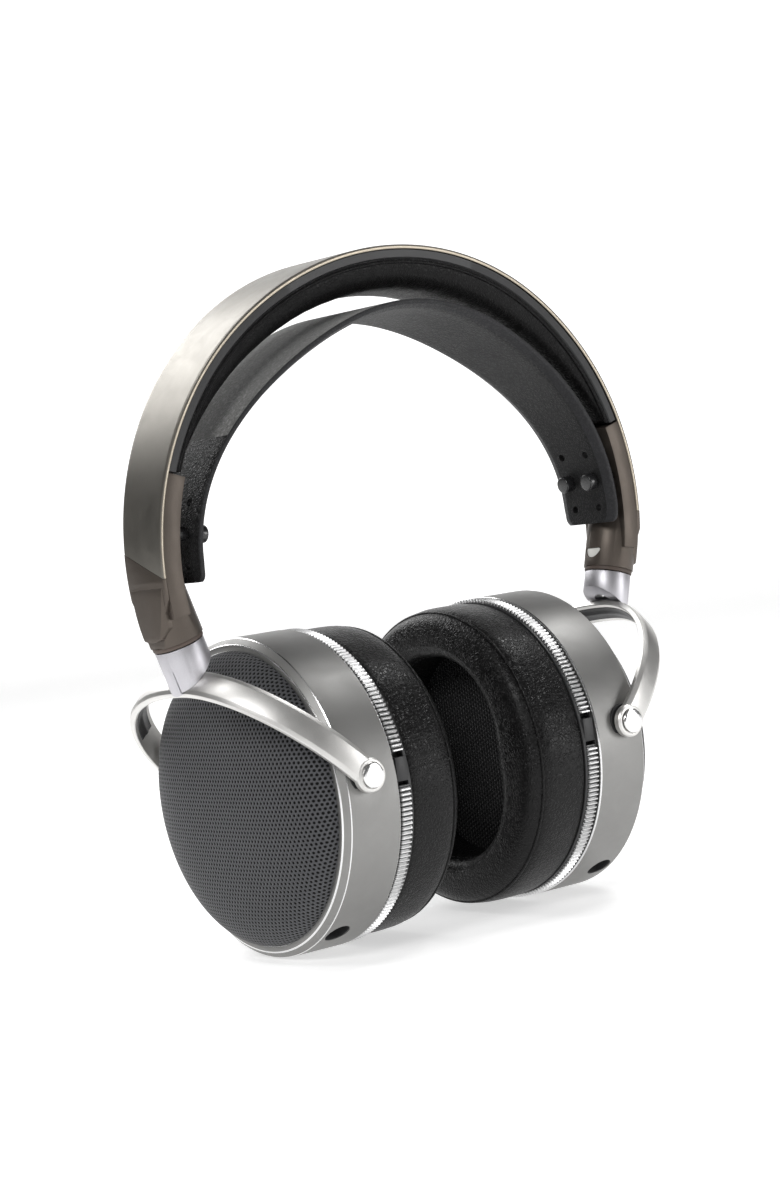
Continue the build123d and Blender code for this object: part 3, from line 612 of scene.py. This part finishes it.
for sg, sd in ((1, "l"), (-1, "r")):
    yb, cb = "yoke_" + sd, "cup_" + sd
    HW, T = ARM_HW, ARM_T
    sec = [(0.0, -HW + 1.5), (0.0, 0.0), (0.0, HW - 1.5), (0.06, HW - 1.3), (0.62, HW - 0.22), (0.95, HW), (T - 0.25, HW),
           (T, HW - 0.25), (T, 0.0), (T, -HW + 0.25), (T - 0.25, -HW), (0.95, -HW), (0.62, -HW + 0.22), (0.06, -HW + 1.3)]
    rows = []
    for i in range(181):
        t = math.pi * i / 180
        rows.append([arch(off, t, n) for off, n in sec])
    y = outward(grid("yoke_arch_" + sd, rows, M_YOKE, sg=sg, sharp=24))
    done(y, yb, "yoke_satin", "yoke_" + sd)
    sec = [(T - 0.05, -2.9), (T + 0.16, -2.75), (T + 0.16, -0.9), (T + 0.42, -0.35), (T + 0.42, 0.35), (T + 0.16, 0.9),
           (T + 0.16, 2.75), (T - 0.05, 2.9)]
    rows = []
    for i in range(141):
        t = math.pi * (0.16 + 0.68 * i / 140)
        rows.append([arch(off, t, n) for off, n in sec])
    done(outward(grid("yoke_lining_" + sd + "_v", rows, M_LINING, sg=sg, sharp=30)), yb, "lining_black", "yoke_lining_" + sd)
    first = True
    for sy, w in ((-1, "front"), (1, "back")):
        o = (PIN_X, 0, PIN_Z)
        ring = [(50.8, 2.52), (50.8, 4.95), (51.05, 5.2), (52.75, 5.2), (53.28, 4.85), (53.42, 4.45), (53.42, 4.12), (53.25, 3.95),
                (52.25, 3.95), (52.25, 2.52)]
        done(lathe("arm_end_%s_%s" % (w, sd), ring, o, (0, sy, 0), M_YOKE, sg, 72), yb, "yoke_satin")
        cap = [(49.9, 0), (49.9, 2.45), (52.28, 2.45), (52.28, 3.62), (54.12, 3.74), (54.36, 3.6), (54.47, 3.3), (54.50, 2.2), (54.53, 0)]
        c = lathe("pin_cap_%s_%s" % (w, sd), cap, o, (0, sy, 0), M_PIN, sg, 72)
        done(c, yb, "pin_polished", *(["pivot_pins_" + sd] if first else []))
        first = False

# ---------------------------------------------------------------- ear cups
def smooth_cap(R, h, base, n=40):
    pts = []
    for i in range(n + 1):
        t = math.pi / 2 * i / n
        pts.append((base + h * math.sin(t), R * math.cos(t) ** (2 / 3.2)))
    return pts


def opening(th, grow=0.0):
    """Radius of the pad's rounded-oval opening at an angle from +Y."""
    hx, hz, r = 29.0 + grow, 33.0 + grow, 27.0 + grow
    c, s = abs(math.cos(th)), abs(math.sin(th))
    lo, hi = 0.0, 60.0
    for _ in range(26):
        m = (lo + hi) / 2
        y, z = m * c, m * s
        dy, dz = max(y - (hx - r), 0), max(z - (hz - r), 0)
        inside = math.hypot(dy, dz) <= r
        lo, hi = (m, hi) if inside else (lo, m)
    return lo


NT = 384
for sg, sd in ((1, "l"), (-1, "r")):
    cb = "cup_" + sd
    O = (XF, 0, CUP_Z)
    AX = (1, 0, 0)
    # housing
    prof = [(-20.3, 47.0), (-20.3, 49.55), (-20.18, 49.78), (-19.92, 49.95), (-19.4, 50.0), (-10.0, 50.0), (-2.35, 50.0), (-2.0, 49.93),
            (-1.75, 49.72), (-0.12, 48.12), (0.08, 47.86), (0.16, 47.6), (0.2, 46.1), (0.12, 45.85), (-0.1, 45.68), (-2.6, 45.6), (-2.6, 42.6), (-5.0, 42.6), (-5.0, 47.0)]

    def hmat(i, j):
        return 1 if j in (1, 2, 7, 9, 10, 12, 13) else 0
    h = lathe("cup_housing_" + sd + "_v", prof, O, AX, [M_HOUSE, M_CHAMFER], sg, NT, hmat, sharp=26)
    # socket recess through the wall
    jd = Vector((0, -math.sin(rad(JACK_ANG)), -math.cos(rad(JACK_ANG))))
    jm = Vector((XF + JACK_U, 0, CUP_Z))
    cut = lathe("cut_" + sd, [(45.0, 0), (45.0, 4.2), (52.0, 4.2), (52.0, 0)], tuple(jm), tuple(jd), M_HOUSE, sg, 48)
    b = h.modifiers.new("recess", "BOOLEAN")
    b.operation = "DIFFERENCE"
    b.object = cut
    b.solver = "EXACT"
    apply(h)
    bpy.data.objects.remove(cut)
    h.data.set_sharp_from_angle(angle=rad(26))
    done(h, cb, "housing_satin", "cup_housing_" + sd)
    lip = [(47.0, 3.02), (47.0, 4.32), (49.55, 4.32), (49.66, 4.18), (49.5, 4.0), (47.4, 3.95), (47.3, 3.02)]
    done(lathe("socket_rim_" + sd, lip, tuple(jm), tuple(jd), M_DARK, sg, 48), cb, "housing_satin")
    plug = [(33.0, 0), (33.0, 1.78), (47.1, 1.78), (47.3, 1.95), (47.3, 2.95), (46.9, 3.0), (31.0, 3.0), (31.0, 0)]
    done(lathe("jack_socket_" + sd + "_v", plug, tuple(jm), tuple(jd), M_SOCKET, sg, 48), cb, "socket_black", "jack_socket_" + sd)
    # pin bosses in the wall
    for sy, w in ((-1, "front"), (1, "back")):
        boss = [(46.5, 2.6), (46.5, 5.6), (49.75, 5.6), (49.9, 5.4), (49.9, 4.3), (49.7, 4.2), (49.7, 2.6)]
        done(lathe("pin_boss_%s_%s" % (w, sd), boss, (PIN_X, 0, PIN_Z), (0, sy, 0), M_DARK, sg, 48), cb, "bush_plastic")
    # fabric dome
    cap = smooth_cap(CAP_R, CAP_H, -0.6, 64)
    prof = [(-2.4, CAP_R - 0.15), (-1.2, CAP_R)] + cap
    P, UV = [], []
    s = [0.0]
    for (u0, r0), (u1, r1) in zip(reversed(prof), list(reversed(prof))[1:]):
        s.append(s[-1] + math.hypot(u1 - u0, r1 - r0))
    s = list(reversed(s))
    for i in range(NT):
        th = 2 * math.pi * i / NT
        P.append([(XF + u, r * math.cos(th), CUP_Z + r * math.sin(th)) for u, r in prof])
        UV.append([(si * math.cos(th) * MM, si * math.sin(th) * MM) for si in s])
    d = grid("cup_cover_" + sd + "_v", P, M_WEAVE, closed_i=True, closed_j=False, caps=False, sg=sg, sharp=0,
             uvfn=lambda i, j: UV[i][j])
    bm = bmesh.new()
    bm.from_mesh(d.data)
    bmesh.ops.remove_doubles(bm, verts=bm.verts, dist=1e-5)
    bm.to_mesh(d.data)
    bm.free()
    sol = d.modifiers.new("thick", "SOLIDIFY")
    sol.thickness = 0.0008
    sol.offset = -1
    apply(d)
    done(d, cb, "cover_weave", "cup_cover_" + sd)
    # toothed ring in two arcs; the groove bottoms carry a dark copy of the ring metal, painted shade in the grooves
    TEETH = 208
    ring_parts = []
    for part, (a0, a1) in enumerate(((13.2, 166.8), (179.1, 360.9))):
        k0, k1 = int(a0 / 360 * TEETH * 4), int(a1 / 360 * TEETH * 4)
        rows = []
        for k in range(k0, k1 + 1):
            th = 2 * math.pi * k / (TEETH * 4)
            top = k % 4 in (0, 1)
            R = 49.84 if top else 49.05
            rr = [(-21.05, 46.0), (-21.05, R - 0.45), (-21.3, R), (-24.6, R), (-24.88, R - 0.45), (-24.88, 46.0)]
            rows.append([(XF + u, r * math.cos(th), CUP_Z + r * math.sin(th)) for u, r in rr])
        # groove-bottom faces take the dark copy of the ring metal: painted shade
        ring_parts.append(outward(grid("knurled_ring_%s_%s" % (sd, "upper" if part == 0 else "lower"), rows, [M_KNURL, M_KNURL_GROOVE_SHADE], sg=sg, sharp=20,
                                    matfn=lambda i, j, k0=k0: 1 if (k0 + i) % 4 == 2 and j in (1, 2, 3) else 0)))
    done(ring_parts[0], cb, "knurl_bright", "knurled_ring_" + sd)
    done(ring_parts[1], cb, "knurl_bright")
    # ear pad
    N_TH = 420
    P, UV = [], []
    for i in range(N_TH):
        th = 2 * math.pi * i / N_TH
        ri = opening(th)
        pk = noise.noise(Vector((math.cos(th) * 9, math.sin(th) * 9, 1.7 + sg)))
        pk2 = noise.noise(Vector((math.cos(th) * 30, math.sin(th) * 30, 5.1 + sg)))
        pk3 = noise.noise(Vector((math.cos(th) * 5, math.sin(th) * 5, 8.3 + sg)))
        # (u, radius) from the mount, round the outside, over the face and in
        sec = [(-25.95, 46.0), (-25.95, 48.2), (-26.5, 48.62), (-28.5, 48.78), (-31, 48.86 + 0.05 * pk), (-34, 48.9 + 0.08 * pk), (-37, 48.86 + 0.1 * pk),
               (-39.5, 48.7 + 0.12 * pk + 0.06 * pk2), (-41.3, 48.35 + 0.10 * pk2), (-42.1, 47.95 + 0.08 * pk2), (-42.45, 47.55), (-42.75, 47.35), (-43.0, 47.5), (-43.3, 47.45),
               (-44.3, 46.8 + 0.12 * pk2), (-45.3, 45.9 + 0.1 * pk2), (-46.1, 44.6), (-46.65, 43.0), (-46.95, 41.0)]
        mid = (41.0 + ri) / 2
        sec += [(-47.05 + 0.05 * pk3, (41.0 * 2 + mid) / 3), (-47.08 + 0.08 * pk3, mid), (-47.0 + 0.06 * pk3, (mid + ri + 4) / 2)]
        sec += [(-46.7, ri + 3.6), (-46.1, ri + 2.1), (-45.0, ri + 0.9), (-43.6, ri + 0.3 + 0.1 * pk2), (-42.2, ri + 0.15), (-41.6, ri + 0.45),
                (-41.0, ri + 0.1), (-38, ri), (-34, ri + 0.1), (-30, ri), (-25.95, ri)]
        P.append([(XF + u, r * math.cos(th), CUP_Z + r * math.sin(th)) for u, r in sec])
        acc, row = 0.0, []
        for j, (u, r) in enumerate(sec):
            if j:
                acc += math.hypot(u - sec[j - 1][0], r - sec[j - 1][1])
            row.append((th, acc * MM))
        UV.append(row)
    pad = grid("ear_pad_" + sd + "_v", P, M_EAR, closed_i=True, closed_j=True, caps=False, sg=sg, sharp=0)
    outward(pad)
    sub = pad.modifiers.new("sub", "SUBSURF")
    sub.levels = 1
    sub.render_levels = 1
    apply(pad)
    done(pad, cb, "ear_leather", "ear_pad_" + sd)
    # piping round the face seam
    rows = []
    for i in range(360):
        th = 2 * math.pi * i / 360
        row = []
        for j in range(10):
            q = 2 * math.pi * j / 10
            r, u = 47.62 + 0.5 * math.cos(q), -42.72 + 0.5 * math.sin(q)
            row.append((XF + u, r * math.cos(th), CUP_Z + r * math.sin(th)))
        rows.append(row)
    done(outward(grid("pad_piping_" + sd, rows, M_EAR, closed_i=True, caps=False, sg=sg, sharp=0)), cb, "ear_leather")
    # stitching just inside the opening
    sv, sf = [], []
    total = 92
    for k in range(total):
        th0 = 2 * math.pi * k / total
        pts = []
        for q in range(5):
            th = th0 + (q - 2) * 2 * math.pi / total * 0.155
            r = opening(th) + 0.33 - 0.10 * math.sin(math.pi * q / 4)
            pts.append(Vector((XF - 41.62, r * math.cos(th), CUP_Z + r * math.sin(th))))
        base = len(sv)
        for q, p in enumerate(pts):
            tan = (pts[min(q + 1, 4)] - pts[max(q - 1, 0)]).normalized()
            e = Vector((1, 0, 0))
            g = tan.cross(e)
            rr = (0.05, 0.17, 0.2, 0.17, 0.05)[q]
            for m in range(6):
                t = 2 * math.pi * m / 6
                sv.append(tuple(p + e * rr * math.cos(t) + g * rr * math.sin(t)))
        for q in range(4):
            for m in range(6):
                m2 = (m + 1) % 6
                sf.append((base + q * 6 + m, base + q * 6 + m2, base + q * 6 + 6 + m2, base + q * 6 + 6 + m))
    done(outward(make("pad_stitching_" + sd, sv, sf, M_STITCH, sharp=0, sg=sg)), cb, "ear_leather")
    # seam across the pad's side, level with the pins, front and back
    for sy, w in ((-1, "front"), (1, "back")):
        rows = []
        for i in range(40):
            u = -26.2 - 16.0 * i / 39
            rb = 48.62 + 0.25 * math.sin(math.pi * i / 39)
            row = []
            for j in range(8):
                q = 2 * math.pi * j / 8
                z = 6.0 + 0.32 * math.sin(q)
                rr = rb + 0.16 * math.cos(q)
                yy = math.sqrt(max(rr * rr - z * z, 0))
                row.append((XF + u, sy * yy, CUP_Z + z))
            rows.append(row)
        done(outward(grid("pad_side_seam_%s_%s" % (w, sd), rows, M_EAR, sg=sg, sharp=0)), cb, "ear_leather")

    # pieces whose CAD shape is right
    for node, m, slot, bev in (("end_block", M_BLOCK, "block_brown", 0.22), ("block_cover", M_BLOCK, "block_brown", 0.18),
                               ("sleeve_ring", M_GASKET, "gasket_brown", 0.15), ("clip_inset", M_WHITE, "inset_white", 0.15),
                               ("collar", M_COLLAR, "collar_satin", 0.22), ("strap_pegs", M_PEG, "peg_black", 0.9),
                               ("pad_mount", M_MOUNT, "mount_black", 0.15)):
        cad_copy(node + "_" + sd, m, bev, seg=3 if bev > 0.5 else 2)
    for node, m in (("block_screws", M_STEEL), ("height_slider", M_SLIDER), ("pivot_bushes", M_DARK), ("cover_plate", M_DARK),
                    ("driver_frame", M_MOUNT), ("magnets", M_STEEL), ("diaphragm", M_FILM), ("driver_screws", M_STEEL),
                    ("pad_mesh", M_MESH_PAINTED_SHADE)):
        o = NODES[node + "_" + sd]
        for sl in o.material_slots:
            sl.material = m

# ---------------------------------------------------------------- stage
def glow(name, col, rough, emit):
    """Pale studio surface that gives back a little light of its own."""
    k = Mat(name)
    n = k.noise(3.0, 2, 0.5)
    k.set(color=k.mix(k.remap(n, 0.3, 0.7, 0, 1), tuple(v * 0.98 for v in col), tuple(col)), rough=rough, spec=0.1)
    k.b.inputs["Emission Color"].default_value = (1, 1, 1, 1)
    k.b.inputs["Emission Strength"].default_value = emit
    return k.m


AZ, EL, ROLL, DIST, F = -37.122, 2.357, -7.300, 821.03, 2596.41
a, e = rad(AZ), rad(EL)
back = Vector((math.sin(a) * math.cos(e), -math.cos(a) * math.cos(e), math.sin(e)))
right = Vector((math.cos(a), math.sin(a), 0))

floor = make("floor", [(-4000, -4000, -0.3), (4000, -4000, -0.3), (4000, 4000, -0.3), (-4000, 4000, -0.3)], [(0, 1, 2, 3)],
             glow("floor_white", (0.74, 0.74, 0.74), 0.85, 0.55), sharp=0)
fb = Vector((back.x, back.y, 0)).normalized()
c0 = -fb * 2200
wall = make("backdrop", [tuple(c0 - right * 1300 + Vector((0, 0, -5))), tuple(c0 + right * 1300 + Vector((0, 0, -5))),
                         tuple(c0 + right * 1300 + Vector((0, 0, 1900))), tuple(c0 - right * 1300 + Vector((0, 0, 1900)))],
            [(0, 1, 2, 3)], glow("backdrop_white", (0.5, 0.5, 0.5), 0.9, 1.0), sharp=0)


def area(name, loc, target, size, power, col=(1, 1, 1), size_y=None):
    d = bpy.data.lights.new(name, "AREA")
    d.energy = power
    d.color = col
    d.shape = "RECTANGLE"
    d.size = size
    d.size_y = size_y or size
    o = bpy.data.objects.new(name, d)
    o.location = Vector(loc)
    o.rotation_euler = (Vector(target) - Vector(loc)).to_track_quat("-Z", "Y").to_euler()
    bpy.context.scene.collection.objects.link(o)
    return o


area("crown", (-0.05, 0.95, 0.78), (-0.05, 0, 0.17), 0.60, 5.0)
area("key", (-0.95, -0.55, 0.80), (0, 0, 0.10), 0.45, 7.0)
area("front", (0.62, -0.86, 0.12), (0, 0, 0.06), 0.30, 3.2, size_y=0.55)
area("rim", (-0.45, 0.20, 1.0), (0, 0, 0.07), 0.22, 2.4)
area("top", (0.55, -0.05, 0.95), (0.03, 0, 0.06), 0.30, 4.0)

w = bpy.data.worlds.new("studio")
w.use_nodes = True
bg = w.node_tree.nodes["Background"]
bg.inputs[0].default_value = (1, 1, 1, 1)
bg.inputs[1].default_value = 0.12
bpy.context.scene.world = w
bpy.context.scene.view_settings.view_transform = "Standard"
bpy.context.scene.view_settings.look = "None"

# ---------------------------------------------------------------- camera
R = Matrix.Rotation(rad(ROLL), 3, back)
right = R @ right
up = back.cross(right)
cam_d = bpy.data.cameras.new("cam")
cam_d.sensor_width = 36.0
cam_d.lens = F * 36.0 / 1196.0
cam_d.clip_start = 0.05
cam_d.clip_end = 20.0
cam = bpy.data.objects.new("cam", cam_d)
C = Vector((-6.228, -12.3, 105.1)) + back * DIST
m = Matrix((right, up, back)).transposed().to_4x4()
m.translation = C * MM
cam.matrix_world = m
bpy.context.scene.collection.objects.link(cam)
bpy.context.scene.camera = cam
